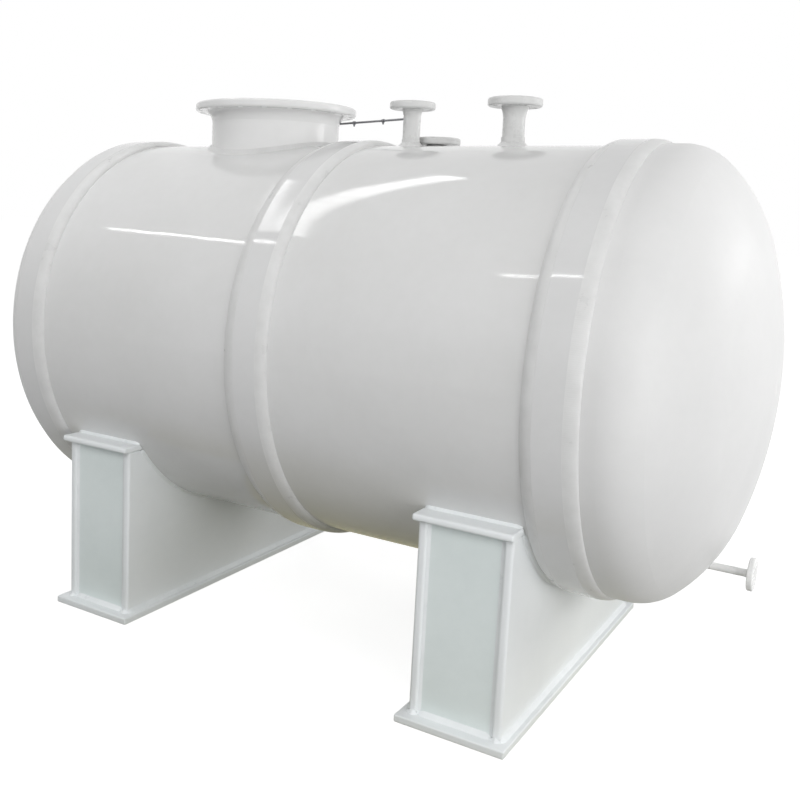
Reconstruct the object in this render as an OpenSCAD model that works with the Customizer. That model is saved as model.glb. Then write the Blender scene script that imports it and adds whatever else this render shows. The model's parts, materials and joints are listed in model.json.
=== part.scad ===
// Horizontal welded plastic tank on two box saddles.
// The tank axis runs along X, the ground is z = 0, and +X is the drain end.

/* [Shell] */
// outside radius of the cylindrical shell
shell_r = 720; // [500:10:1100]
// wall thickness of the shell sheets
shell_wall = 20; // [10:1:35]
// length of the cylinder between the two head joints
shell_len = 2175; // [1600:5:3600]
// height of the lowest line of the shell above the ground
shell_clear = 350; // [250:10:700]
// distance of the joint between the two shell courses from mid length, towards the drain end
course_x = 0; // [-200:1:200]

/* [Heads] */
// how far the head skirts stand out past the shell
head_step = 6; // [0:1:15]
// wall thickness of the heads
head_wall = 24; // [12:1:40]
// length of the straight skirt of the right head
head_skirt = 45; // [20:1:120]
// depth of the dished part of the right head
head_depth = 325; // [220:5:420]
// outside radius of the knuckle of the right head
head_knuckle = 165; // [100:5:260]
// length of the straight skirt of the left head
left_skirt = 15; // [10:1:60]
// depth of the dished part of the left head
left_depth = 125; // [100:5:420]
// outside radius of the knuckle of the left head
left_knuckle = 50; // [40:5:260]

/* [Bands] */
// thickness of the bands laid round the shell
band_t = 20; // [8:1:40]
// width of the band next to the left head
band_left_w = 150; // [80:2:400]
// width of the band over the course joint
band_mid_w = 158; // [80:2:300]
// width of the band next to the right head
band_right_w = 148; // [80:2:400]
// leg of the fillet welds along the bands
weld_leg = 20; // [5:1:30]
// width of the bead between the right band and its head
bead_right_w = 28; // [8:1:60]
// width of the bead between the left band and its head
bead_left_w = 14; // [8:1:60]

/* [Manway] */
// distance of the manway from mid length, towards the drain end
manway_x = -437.5; // [-560:0.5:-380]
// outside radius of the manway neck
manway_r = 250; // [150:5:320]
// wall thickness of the manway neck
manway_wall = 20; // [8:1:30]
// height of the manway neck above the crest of the shell
manway_h = 122; // [60:1:300]
// width of the manway flange past the neck
manway_flange_w = 65; // [50:0.5:100]
// thickness of the manway flange
manway_flange_t = 30; // [16:1:50]
// distance of the bolt holes in the manway flange outside the neck
manway_bolt_out = 45; // [35:0.5:60]
// number of bolt holes in the manway flange
manway_bolts = 20; // [8:4:24]
// radius of a bolt hole in the manway flange
manway_hole_r = 9; // [6:0.5:14]
// leg of the fillet weld round the foot of the manway neck
manway_weld_leg = 16; // [6:1:24]

/* [Nozzles] */
// distance of the vent nozzle from mid length, towards the drain end
vent_x = 166.5; // [150:0.5:270]
// outside radius of the vent neck, and of the gauge neck
vent_r = 31.5; // [20:0.5:40]
// wall thickness of the vent and gauge necks
vent_wall = 6; // [3:0.5:10]
// height of the underside of the vent flange above the crest
vent_h = 130; // [60:1:250]
// width of the vent flange past its neck, and of the gauge flange past its own
vent_flange_w = 51; // [40:0.5:60]
// thickness of the vent and gauge flanges
vent_flange_t = 26; // [12:1:30]
// distance of the bolt holes in the vent and gauge flanges outside the necks
vent_bolt_out = 31; // [25:0.5:36]
// radius of the hub under the vent flange where it meets the flange, past the neck
vent_hub_w = 7; // [2:0.5:12]
// height of the hub under the vent flange
vent_hub_h = 20; // [8:1:35]
// how far the socket at the foot of the vent neck stands out past the neck
vent_socket_w = 2; // [1:0.5:8]
// height of the socket at the foot of the vent neck above the crest
vent_socket_h = 24; // [15:1:60]
// clear distance between the rim of the gauge flange and the vent neck
gauge_clear = 11; // [8:0.5:60]
// angle round the vent at which the gauge nozzle stands, from the drain end to the back
gauge_turn = 65; // [20:1:120]
// height of the underside of the gauge flange above the crest
gauge_h = 12; // [10:1:60]
// distance of the fill nozzle from mid length, towards the drain end
fill_x = 557.5; // [500:0.5:760]
// outside radius of the fill neck
fill_r = 37.5; // [25:0.5:50]
// wall thickness of the fill neck
fill_wall = 7; // [3:0.5:12]
// height of the underside of the fill flange above the crest
fill_h = 131; // [80:1:250]
// width of the fill flange past its neck
fill_flange_w = 55; // [44:0.5:70]
// thickness of the fill flange
fill_flange_t = 28; // [14:1:36]
// distance of the bolt holes in the fill flange outside the neck
fill_bolt_out = 35; // [28:0.5:42]
// radius of the hub under the fill flange where it meets the flange, past the neck
fill_hub_w = 11; // [2:0.5:14]
// height of the hub under the fill flange
fill_hub_h = 34; // [10:1:45]
// how far the socket at the foot of the fill neck stands out past the neck
fill_socket_w = 3; // [1:0.5:8]
// height of the socket at the foot of the fill neck above the crest
fill_socket_h = 31; // [15:1:60]
// radius of a bolt hole in the vent, gauge and fill flanges
nozzle_hole_r = 9; // [6:0.5:11]
// leg of the fillet welds at the feet of the small nozzles
nozzle_weld_leg = 14; // [5:1:18]
// height of the drain above the lowest line of the shell
drain_up = 127; // [110:5:300]
// outside radius of the drain pipe
drain_r = 12.5; // [8:0.5:20]
// wall thickness of the drain pipe
drain_wall = 2.5; // [1.5:0.5:5]
// width of the drain flange past the pipe
drain_flange_w = 40; // [30:0.5:50]
// thickness of the drain flange
drain_flange_t = 18; // [10:1:24]
// distance of the bolt holes in the drain flange outside the pipe
drain_bolt_out = 25; // [18:0.5:30]
// radius of a bolt hole in the drain flange
drain_hole_r = 7; // [4:0.5:8]
// distance of the face of the drain flange short of the end of the head
drain_back = 5; // [0:1:40]

/* [Tie rod] */
// radius of the rod between the manway and the vent
rod_r = 4; // [3:0.5:10]
// angle round the manway at which the rod starts, from the drain end to the back
rod_turn = 36; // [0:1:50]
// height of the rod above the crest
rod_h = 99; // [60:1:115]

/* [Saddles] */
// distance of the middle of the left saddle from the left head joint
saddle_left_in = 352; // [180:1:500]
// distance of the middle of the right saddle from the right head joint
saddle_right_in = 334; // [180:1:420]
// width of a saddle over its two webs
saddle_w = 304; // [200:2:320]
// thickness of a web
web_t = 30; // [15:1:40]
// distance of the web edges outside the shell, at the height of the caps
web_out = 52; // [35:1:120]
// distance of the face of an end plate behind the web edges
plate_back_in = 10; // [0:1:40]
// thickness of an end plate
plate_t = 20; // [10:1:30]
// distance of the top of a cap below the tank axis
cap_drop = 404; // [300:1:500]
// thickness of a cap
cap_t = 22; // [10:1:35]
// distance of the front of a cap past the web edges
cap_front = 32; // [10:1:80]
// distance of a cap past the webs at each side
cap_side = 8; // [0:1:30]
// distance of the ends of a base past the web edges
base_end = 42; // [5:1:100]
// thickness of a base
base_t = 25; // [12:1:40]
// distance of a base past the webs at each side
base_side = 28; // [10:1:60]

/* [Edges] */
// chamfer on the rims of the flanges
flange_edge = 3; // [1:0.5:6]

/* [Fits] */
// gap between a bent sheet and what it is laid on
seat_gap = 0.4; // [0.2:0.1:0.8]
// gap between a pipe and the hole it passes through
pipe_gap = 0.3; // [0.2:0.1:0.8]

/* [Hidden] */
$fn = 96;
overall_len = left_depth + left_skirt + shell_len + head_skirt + head_depth;
left_x = -overall_len / 2 + left_depth + left_skirt;
right_x = left_x + shell_len;
mid_x = left_x + shell_len / 2;
axis_z = shell_clear + shell_r;
crest_z = axis_z + shell_r;
head_r = shell_r + head_step;
shell_in = shell_r - shell_wall;
band_r = shell_r + band_t;
joint_x = mid_x + course_x;
band_mid_a = joint_x - band_mid_w / 2;
band_mid_b = joint_x + band_mid_w / 2;
man_at = mid_x + manway_x;
vent_at = mid_x + vent_x;
fill_at = mid_x + fill_x;
drain_face = overall_len / 2 - drain_back;
drain_z = shell_clear + drain_up;
manway_flange_r = manway_r + manway_flange_w;
vent_flange_r = vent_r + vent_flange_w;
fill_flange_r = fill_r + fill_flange_w;
drain_flange_r = drain_r + drain_flange_w;
gauge_off = vent_r + gauge_clear + vent_flange_r;
gauge_x = vent_at + gauge_off * cos(gauge_turn);
gauge_y = gauge_off * sin(gauge_turn);
cap_z = axis_z - cap_drop;
web_y = sqrt(shell_r * shell_r - cap_drop * cap_drop) + web_out;
cap_y = web_y + cap_front;
base_y = web_y + base_end;
saddle_left_x = left_x + saddle_left_in;
saddle_right_x = right_x - saddle_right_in;
rod_x = man_at + manway_r * cos(rod_turn);
rod_y = manway_r * sin(rod_turn);
rod_len = sqrt((vent_at - rod_x) * (vent_at - rod_x) + rod_y * rod_y);
rod_swing = -atan2(rod_y, vent_at - rod_x);
rod_in = 20;
haunch_turn = 44;
crown_part = 0.922;
inside_reach = 12;
cut = 2;
pp = [0.93, 0.94, 0.94];
bead = [0.88, 0.89, 0.88];
grey = [0.83, 0.86, 0.86];
steel = [0.55, 0.57, 0.6];

// ---- shared shapes ----

// a rod along X on the tank axis
module along(x0, x1, r) {
  translate([x0, 0, axis_z]) rotate([0, 90, 0]) cylinder(h = x1 - x0, r = r);
}

// an upright rod standing at x, y
module upright(x, y, z0, z1, r) {
  translate([x, y, z0]) cylinder(h = z1 - z0, r = r);
}

// one half of one rolled course
module half_course(x0, x1, upper) {
  difference() {
    intersection() {
      along(x0, x1, shell_r);
      translate([x0, -shell_r, upper ? axis_z : axis_z - shell_r])
        cube([x1 - x0, 2 * shell_r, shell_r]);
    }
    along(x0 - cut, x1 + cut, shell_in);
  }
}

// the room that the manway and its weld take above the tank axis
module manway_room() {
  upright(man_at, 0, axis_z, crest_z + manway_h, manway_r + manway_weld_leg + pipe_gap);
}

// a band round the shell, clear of the manway
module band_ring(x0, x1) {
  difference() {
    along(x0, x1, band_r);
    along(x0 - cut, x1 + cut, shell_r + seat_gap);
    manway_room();
  }
}

// a fillet weld ring on radius r_in, side = 1 grows along +X from x0, clear of the manway
module weld_ring(x0, r_in, leg, wide, side) {
  difference() {
    translate([x0, 0, axis_z]) rotate([0, 90, 0]) rotate_extrude()
      polygon([[r_in, 0], [r_in + leg, 0], [r_in + leg * 0.62, side * wide * 0.72],
        [r_in, side * wide]]);
    manway_room();
  }
}

// radii of the three arcs of a near-elliptical head: knuckle, haunch and crown
function knuckle_of(knuckle, depth) = min(knuckle, 0.6 * depth);
function crown_of(depth) = crown_part * head_r * head_r / depth;
function haunch_of(depth, k, c) = let (at = head_r - k, up = c - depth)
  k + (at * at + up * up - (c - k) * (c - k))
    / (2 * (at * cos(haunch_turn) + up * sin(haunch_turn) - (c - k)));

// half profile of a solid head with its skirt, made of tangent arcs, axis along Y of the sketch
module dish_profile(r, depth, k, h, c, skirt) {
  at = r - k;
  hx = at - (h - k) * cos(haunch_turn);
  hy = -(h - k) * sin(haunch_turn);
  n = sqrt(hx * hx + (hy + c - depth) * (hy + c - depth));
  ux = hx / n;
  uy = (hy + c - depth) / n;
  far = [hx + 1.3 * h * ux, hy + 1.3 * h * uy];
  mid = [hx - hy * ux / uy, 0];
  intersection() {
    translate([0, depth - c]) circle(r = c, $fn = 200);
    polygon([[0, 0], mid, far, [0, 2 * depth]]);
  }
  intersection() {
    translate([hx, hy]) circle(r = h, $fn = 200);
    polygon([mid, [at, 0], [at + 1.5 * k * cos(haunch_turn), 1.5 * k * sin(haunch_turn)], far]);
  }
  intersection() {
    translate([at, 0]) circle(r = k);
    translate([at - k, 0]) square([2 * k, k]);
  }
  translate([0, -skirt]) square([r, skirt]);
}

// a dished head of the given depth, knuckle and skirt, opening towards -Z
module dish(depth, knuckle, skirt) {
  k = knuckle_of(knuckle, depth);
  c = crown_of(depth);
  h = haunch_of(depth, k, c);
  w = head_wall;
  difference() {
    rotate_extrude() dish_profile(head_r, depth, k, h, c, skirt);
    rotate_extrude() dish_profile(head_r - w, depth - w, k - w, h - w, c - w, skirt + cut);
  }
}

// what the saddles are cut back to: shell, bands and their welds, with the seat gap
module tank_envelope() {
  along(left_x, right_x, shell_r + seat_gap);
  along(left_x, left_x + band_left_w + weld_leg + seat_gap, band_r + seat_gap);
  along(right_x - band_right_w - weld_leg - seat_gap, right_x, band_r + seat_gap);
}

// stepped fillet bead where an upright pipe of radius r meets the shell
module foot_weld(x, y, r, leg) {
  difference() {
    union() {
      intersection() {
        upright(x, y, axis_z, crest_z + 2 * leg, r + leg);
        along(x - r - 2 * leg, x + r + 2 * leg, shell_r + leg * 0.5);
      }
      intersection() {
        upright(x, y, axis_z, crest_z + 2 * leg, r + leg * 0.5);
        along(x - r - 2 * leg, x + r + 2 * leg, shell_r + leg);
      }
    }
    along(x - r - 3 * leg, x + r + 3 * leg, shell_r + seat_gap);
  }
}

// neck of a small upright nozzle: pipe through the shell, socket and bead at its foot
module neck(x, y, r, wall, top, socket_w, socket_h) {
  difference() {
    union() {
      upright(x, y, axis_z + shell_in - inside_reach, crest_z + top, r);
      difference() {
        upright(x, y, axis_z, crest_z + socket_h, r + socket_w);
        along(x - 3 * r, x + 3 * r, shell_r + seat_gap);
      }
      foot_weld(x, y, r + socket_w, nozzle_weld_leg);
    }
    upright(x, y, axis_z, crest_z + top + cut, r - wall);
  }
}

// a drilled flange with chamfered rims, first bolt hole half a pitch off the X axis
module flange(x, y, z0, t, r, bore, out, n, hole) {
  c = flange_edge;
  translate([x, y, z0]) difference() {
    rotate_extrude() polygon([[bore, 0], [r - c, 0], [r, c], [r, t - c], [r - c, t], [bore, t]]);
    for (i = [0 : n - 1])
      rotate([0, 0, (i + 0.5) * 360 / n]) translate([out, 0, -cut])
        cylinder(h = t + 2 * cut, r = hole);
  }
}

// a hub that widens up to the flange it carries
module hub(x, h, top, r, wide) {
  difference() {
    translate([x, 0, crest_z + top - h]) cylinder(h = h, r1 = r + 1, r2 = r + wide);
    upright(x, 0, crest_z, crest_z + top + cut, r + pipe_gap);
  }
}

// holes of the nozzles through the shell
module shell_holes() {
  upright(man_at, 0, axis_z, crest_z + cut, manway_r + pipe_gap);
  upright(vent_at, 0, axis_z, crest_z + cut, vent_r + pipe_gap);
  upright(gauge_x, gauge_y, axis_z, crest_z + cut, vent_r + pipe_gap);
  upright(fill_at, 0, axis_z, crest_z + cut, fill_r + pipe_gap);
}

// one web plate with its inner face at x
module web(x) {
  difference() {
    translate([x, -web_y, base_t]) cube([web_t, 2 * web_y, cap_z - cap_t - base_t]);
    tank_envelope();
  }
}

// one base plate about xm
module base(xm) {
  translate([xm - saddle_w / 2 - base_side, -base_y, 0])
    cube([saddle_w + 2 * base_side, 2 * base_y, base_t]);
}

// one end plate about xm, at the viewer's side when front
module end_plate(xm, front) {
  y0 = front ? -web_y + plate_back_in : web_y - plate_back_in - plate_t;
  translate([xm - saddle_w / 2 + web_t, y0, base_t])
    cube([saddle_w - 2 * web_t, plate_t, cap_z - cap_t - base_t]);
}

// one cap about xm, cut to the shell
module cap(xm, front) {
  difference() {
    translate([xm - saddle_w / 2 - cap_side, front ? -cap_y : 0, cap_z - cap_t])
      cube([saddle_w + 2 * cap_side, cap_y, cap_t]);
    tank_envelope();
  }
}

// ---- shell ----

module shell_left_upper() {
  color(pp) difference() {
    half_course(left_x, joint_x, true);
    shell_holes();
  }
}

module shell_left_lower() { color(pp) half_course(left_x, joint_x, false); }

module shell_right_upper() {
  color(pp) difference() {
    half_course(joint_x, right_x, true);
    shell_holes();
  }
}

module shell_right_lower() { color(pp) half_course(joint_x, right_x, false); }

module head_left() {
  color(pp) translate([left_x - left_skirt, 0, axis_z]) rotate([0, -90, 0])
    dish(left_depth, left_knuckle, left_skirt);
}

module head_right() {
  color(pp) difference() {
    translate([right_x + head_skirt, 0, axis_z]) rotate([0, 90, 0])
      dish(head_depth, head_knuckle, head_skirt);
    translate([right_x, 0, drain_z]) rotate([0, 90, 0])
      cylinder(h = overall_len, r = drain_r + pipe_gap);
  }
}

module band_left() { color(pp) band_ring(left_x, left_x + band_left_w); }

module band_mid() { color(pp) band_ring(band_mid_a, band_mid_b); }

module band_right() { color(pp) band_ring(right_x - band_right_w, right_x); }

module weld_left_outer() {
  color(bead) weld_ring(left_x, head_r, band_r - head_r, bead_left_w, -1);
}

module weld_left_inner() {
  color(bead) weld_ring(left_x + band_left_w, shell_r + seat_gap, weld_leg, weld_leg, 1);
}

module weld_mid_left() {
  color(bead) weld_ring(band_mid_a, shell_r + seat_gap, weld_leg, weld_leg, -1);
}

module weld_mid_right() {
  color(bead) weld_ring(band_mid_b, shell_r + seat_gap, weld_leg, weld_leg, 1);
}

module weld_right_inner() {
  color(bead) weld_ring(right_x - band_right_w, shell_r + seat_gap, weld_leg, weld_leg, -1);
}

module weld_right_outer() {
  color(bead) weld_ring(right_x, head_r, band_r - head_r, bead_right_w, 1);
}

// ---- manway ----

module manway_neck() {
  color(pp) difference() {
    upright(man_at, 0, axis_z + shell_in - 4 * inside_reach, crest_z + manway_h, manway_r);
    upright(man_at, 0, axis_z, crest_z + manway_h + cut, manway_r - manway_wall);
  }
}

module manway_flange() {
  color(pp) flange(man_at, 0, crest_z + manway_h, manway_flange_t, manway_flange_r,
    manway_r - manway_wall, manway_r + manway_bolt_out, manway_bolts, manway_hole_r);
}

module manway_weld() {
  color(bead) difference() {
    foot_weld(man_at, 0, manway_r, manway_weld_leg);
    upright(man_at, 0, axis_z, crest_z + 3 * manway_weld_leg, manway_r + pipe_gap);
  }
}

// ---- small nozzles ----

module vent_neck() {
  color(pp) neck(vent_at, 0, vent_r, vent_wall, vent_h, vent_socket_w, vent_socket_h);
}

module vent_hub() { color(pp) hub(vent_at, vent_hub_h, vent_h, vent_r, vent_hub_w); }

module vent_flange() {
  color(pp) flange(vent_at, 0, crest_z + vent_h, vent_flange_t, vent_flange_r,
    vent_r - vent_wall, vent_r + vent_bolt_out, 4, nozzle_hole_r);
}

module gauge_neck() {
  color(pp) difference() {
    upright(gauge_x, gauge_y, axis_z + shell_in - inside_reach, crest_z + gauge_h, vent_r);
    upright(gauge_x, gauge_y, axis_z, crest_z + gauge_h + cut, vent_r - vent_wall);
  }
}

module gauge_flange() {
  color(pp) flange(gauge_x, gauge_y, crest_z + gauge_h, vent_flange_t, vent_flange_r,
    vent_r - vent_wall, vent_r + vent_bolt_out, 4, nozzle_hole_r);
}

module fill_neck() {
  color(pp) neck(fill_at, 0, fill_r, fill_wall, fill_h, fill_socket_w, fill_socket_h);
}

module fill_hub() { color(pp) hub(fill_at, fill_hub_h, fill_h, fill_r, fill_hub_w); }

module fill_flange() {
  color(pp) flange(fill_at, 0, crest_z + fill_h, fill_flange_t, fill_flange_r,
    fill_r - fill_wall, fill_r + fill_bolt_out, 4, nozzle_hole_r);
}

module drain_neck() {
  color(pp) translate([0, 0, drain_z]) rotate([0, 90, 0]) difference() {
    translate([0, 0, right_x + head_skirt]) cylinder(h = drain_face - drain_flange_t
      - right_x - head_skirt, r = drain_r);
    translate([0, 0, right_x]) cylinder(h = overall_len, r = drain_r - drain_wall);
  }
}

module drain_flange() {
  color(pp) translate([drain_face - drain_flange_t, 0, drain_z]) rotate([0, 90, 0])
    flange(0, 0, 0, drain_flange_t, drain_flange_r, drain_r - drain_wall,
      drain_r + drain_bolt_out, 4, drain_hole_r);
}

module tie_rod() {
  color(steel) difference() {
    translate([rod_x, rod_y, crest_z + rod_h]) rotate([0, 0, rod_swing]) translate([-rod_in, 0, 0])
      rotate([0, 90, 0]) cylinder(h = rod_len + rod_in, r = rod_r);
    upright(man_at, 0, crest_z, crest_z + manway_h, manway_r + pipe_gap);
    upright(vent_at, 0, crest_z, crest_z + vent_h, vent_r + pipe_gap);
  }
}

// ---- saddles ----

module saddle_left_base() { color(grey) base(saddle_left_x); }

module saddle_left_web_outer() { color(grey) web(saddle_left_x - saddle_w / 2); }

module saddle_left_web_inner() { color(grey) web(saddle_left_x + saddle_w / 2 - web_t); }

module saddle_left_plate_front() { color(grey) end_plate(saddle_left_x, true); }

module saddle_left_plate_back() { color(grey) end_plate(saddle_left_x, false); }

module saddle_left_cap_front() { color(grey) cap(saddle_left_x, true); }

module saddle_left_cap_back() { color(grey) cap(saddle_left_x, false); }

module saddle_right_base() { color(grey) base(saddle_right_x); }

module saddle_right_web_outer() { color(grey) web(saddle_right_x + saddle_w / 2 - web_t); }

module saddle_right_web_inner() { color(grey) web(saddle_right_x - saddle_w / 2); }

module saddle_right_plate_front() { color(grey) end_plate(saddle_right_x, true); }

module saddle_right_plate_back() { color(grey) end_plate(saddle_right_x, false); }

module saddle_right_cap_front() { color(grey) cap(saddle_right_x, true); }

module saddle_right_cap_back() { color(grey) cap(saddle_right_x, false); }

shell_left_upper();
shell_left_lower();
shell_right_upper();
shell_right_lower();
head_left();
head_right();
band_left();
band_mid();
band_right();
weld_left_outer();
weld_left_inner();
weld_mid_left();
weld_mid_right();
weld_right_inner();
weld_right_outer();
manway_neck();
manway_flange();
manway_weld();
vent_neck();
vent_hub();
vent_flange();
gauge_neck();
gauge_flange();
fill_neck();
fill_hub();
fill_flange();
drain_neck();
drain_flange();
tie_rod();
saddle_left_base();
saddle_left_web_outer();
saddle_left_web_inner();
saddle_left_plate_front();
saddle_left_plate_back();
saddle_left_cap_front();
saddle_left_cap_back();
saddle_right_base();
saddle_right_web_outer();
saddle_right_web_inner();
saddle_right_plate_front();
saddle_right_plate_back();
saddle_right_cap_front();
saddle_right_cap_back();
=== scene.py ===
import json
import math

import bmesh
import bpy
from mathutils import Matrix, Vector, noise


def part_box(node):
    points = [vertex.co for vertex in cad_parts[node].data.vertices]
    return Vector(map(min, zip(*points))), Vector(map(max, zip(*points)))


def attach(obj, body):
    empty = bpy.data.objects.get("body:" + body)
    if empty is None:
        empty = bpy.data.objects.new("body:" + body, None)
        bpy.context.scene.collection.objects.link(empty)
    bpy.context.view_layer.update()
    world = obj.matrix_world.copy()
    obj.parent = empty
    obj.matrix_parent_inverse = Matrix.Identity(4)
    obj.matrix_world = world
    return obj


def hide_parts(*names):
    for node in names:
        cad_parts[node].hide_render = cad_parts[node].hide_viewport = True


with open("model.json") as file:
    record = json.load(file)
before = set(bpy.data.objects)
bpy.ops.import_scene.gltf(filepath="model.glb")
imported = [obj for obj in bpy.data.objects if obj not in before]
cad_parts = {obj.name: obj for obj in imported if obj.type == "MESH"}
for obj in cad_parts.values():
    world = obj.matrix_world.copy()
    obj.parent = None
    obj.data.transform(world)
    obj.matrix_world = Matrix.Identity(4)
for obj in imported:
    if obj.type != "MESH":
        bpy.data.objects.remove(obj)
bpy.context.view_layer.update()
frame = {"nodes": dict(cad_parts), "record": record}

UP = (0, 0, 1)
ALONG = (1, 0, 0)


# ---------------------------------------------------------------- measures
# Lengths are in metres. The tank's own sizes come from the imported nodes.
def lo(node):
    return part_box(node)[0]


def hi(node):
    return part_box(node)[1]


def middle(node):
    a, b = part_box(node)
    return [(a[k] + b[k]) / 2 for k in range(3)]


def spots(node, across=(0, 1)):
    """Each of a node's points as its distance from the node's middle line, and its place."""
    i, j = across
    centre = middle(node)
    return [
        (math.hypot(v.co[i] - centre[i], v.co[j] - centre[j]), v.co)
        for v in frame["nodes"][node].data.vertices
    ]


def reach(node, across=(0, 1)):
    """The least and the greatest distance of a node's points from its middle line."""
    far = [distance for distance, _ in spots(node, across)]
    return min(far), max(far)


AXIS_Z = (lo("band_mid")[2] + hi("band_mid")[2]) / 2
BAND_R = (hi("band_mid")[2] - lo("band_mid")[2]) / 2
SHELL_R = AXIS_Z - lo("shell_right_lower")[2]
HEAD_R = (hi("head_right")[2] - lo("head_right")[2]) / 2
CREST_Z = AXIS_Z + SHELL_R

SEAT_GAP = 0.0004  # what is redrawn here stays this far off the shell
SINK = 0.0006  # a bead or a flare reaches this far into what it joins


# ---------------------------------------------------------------- materials
def emptied(owner, output):
    """The owner's node tree with nothing in it but one output of that kind, and that output."""
    owner.use_nodes = True
    tree = owner.node_tree
    tree.nodes.clear()
    return tree, tree.nodes.new(output)


def add(tree, kind, **values):
    """A shader node. Each value goes to the input of its name, or else to the setting."""
    node = tree.nodes.new("ShaderNode" + kind)
    for key, value in values.items():
        if key in node.inputs.keys():
            node.inputs[key].default_value = value
        else:
            setattr(node, key, value)
    return node


def principled(name):
    """A new material, its node tree and its one Principled shader."""
    material = bpy.data.materials.new(name)
    tree, out = emptied(material, "ShaderNodeOutputMaterial")
    bsdf = add(tree, "BsdfPrincipled")
    tree.links.new(bsdf.outputs[0], out.inputs[0])
    return material, tree, bsdf


def maths(tree, operation, *values):
    """The result of a Math node. Each value is a number or another node's output."""
    node = add(tree, "Math", operation=operation)
    for socket, value in zip(node.inputs, values):
        if isinstance(value, (int, float)):
            socket.default_value = value
        else:
            tree.links.new(value, socket)
    return node.outputs[0]


def noise_node(tree, where, scale, detail=3.0, stretch=(1, 1, 1), rough=0.55):
    """A noise factor over the place, stretched along the axes."""
    mapping = add(tree, "Mapping", Scale=stretch)
    tree.links.new(where, mapping.inputs["Vector"])
    texture = add(tree, "TexNoise", Scale=scale, Detail=detail, Roughness=rough)
    tree.links.new(mapping.outputs[0], texture.inputs["Vector"])
    return texture.outputs["Fac"]


def ramp(tree, fac, stops):
    """A colour ramp with the stops (place, colour)."""
    node = add(tree, "ValToRGB")
    for _ in range(len(stops) - 2):
        node.color_ramp.elements.new(0.5)
    for element, (place, colour) in zip(node.color_ramp.elements, stops):
        element.position = place
        element.color = (*colour, 1)
    tree.links.new(fac, node.inputs[0])
    return node.outputs[0]


def span(tree, fac, a, b, low=0.3, high=0.7):
    """A number from a to b as the factor goes from low to high."""
    node = add(tree, "MapRange", **{"From Min": low, "From Max": high, "To Min": a, "To Max": b})
    tree.links.new(fac, node.inputs["Value"])
    return node.outputs[0]


def bump(tree, bsdf, layers):
    """Stacks bump layers (height, strength, distance in metres) on the shader."""
    before = None
    for height, strength, distance in layers:
        node = add(tree, "Bump", Strength=strength, Distance=distance)
        tree.links.new(height, node.inputs["Height"])
        if before:
            tree.links.new(before, node.inputs["Normal"])
        before = node.outputs[0]
    tree.links.new(before, bsdf.inputs["Normal"])


def plastic(name, light, dark, rough, wave, grain, grain_scale=160.0):
    """Polypropylene: cloudy colour, uneven gloss, a wavy sheet and a fine grain."""
    material, tree, bsdf = principled(name)
    where = add(tree, "TexCoord").outputs["Object"]
    cloud = noise_node(tree, where, scale=1.7, detail=4.0)
    fine = noise_node(tree, where, scale=26.0, detail=5.0, rough=0.65)
    fine_share = 0.25
    mixed = maths(tree, "MULTIPLY_ADD", fine, fine_share, cloud)
    tree.links.new(ramp(tree, mixed, [(0.42, dark), (0.84, light)]), bsdf.inputs["Base Color"])
    scuff = noise_node(tree, where, scale=9.0, detail=6.0, rough=0.7)
    tree.links.new(span(tree, scuff, *rough), bsdf.inputs["Roughness"])
    bsdf.inputs["IOR"].default_value = 1.49
    waves = noise_node(tree, where, scale=2.3, detail=2.0)
    grains = noise_node(tree, where, scale=grain_scale, detail=3.0)
    bump(tree, bsdf, [(waves, wave, 0.01), (grains, grain, 0.001)])
    return material


def weld_plastic(name, light, dark):
    """A weld bead with fine ripples across its run, which is the U of the piece's UV map."""
    material, tree, bsdf = principled(name)
    coords = add(tree, "TexCoord")
    where = coords.outputs["Object"]
    cloud = noise_node(tree, where, scale=14.0, detail=4.0)
    tree.links.new(ramp(tree, cloud, [(0.35, dark), (0.7, light)]), bsdf.inputs["Base Color"])
    tree.links.new(span(tree, cloud, 0.26, 0.42), bsdf.inputs["Roughness"])
    ripple = add(
        tree,
        "TexWave",
        wave_type="BANDS",
        bands_direction="X",
        wave_profile="SIN",
        **{"Scale": 55.0, "Distortion": 1.4, "Detail": 2.0, "Detail Scale": 1.5},
    )
    tree.links.new(coords.outputs["UV"], ripple.inputs["Vector"])
    grains = noise_node(tree, where, scale=190.0, detail=2.0)
    bump(tree, bsdf, [(ripple.outputs["Fac"], 0.15, 0.0006), (grains, 0.15, 0.0008)])
    return material


def steel(name):
    """Drawn rod: dark brushed metal with fine lines round it."""
    material, tree, bsdf = principled(name)
    where = add(tree, "TexCoord").outputs["Object"]
    lines = noise_node(tree, where, scale=60.0, detail=4.0, stretch=(6, 1, 1))
    colour = ramp(tree, lines, [(0.3, (0.20, 0.20, 0.21)), (0.75, (0.36, 0.36, 0.38))])
    tree.links.new(colour, bsdf.inputs["Base Color"])
    tree.links.new(span(tree, lines, 0.28, 0.46), bsdf.inputs["Roughness"])
    bsdf.inputs["Metallic"].default_value = 1.0
    bump(tree, bsdf, [(lines, 0.2, 0.0004)])
    return material


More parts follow.
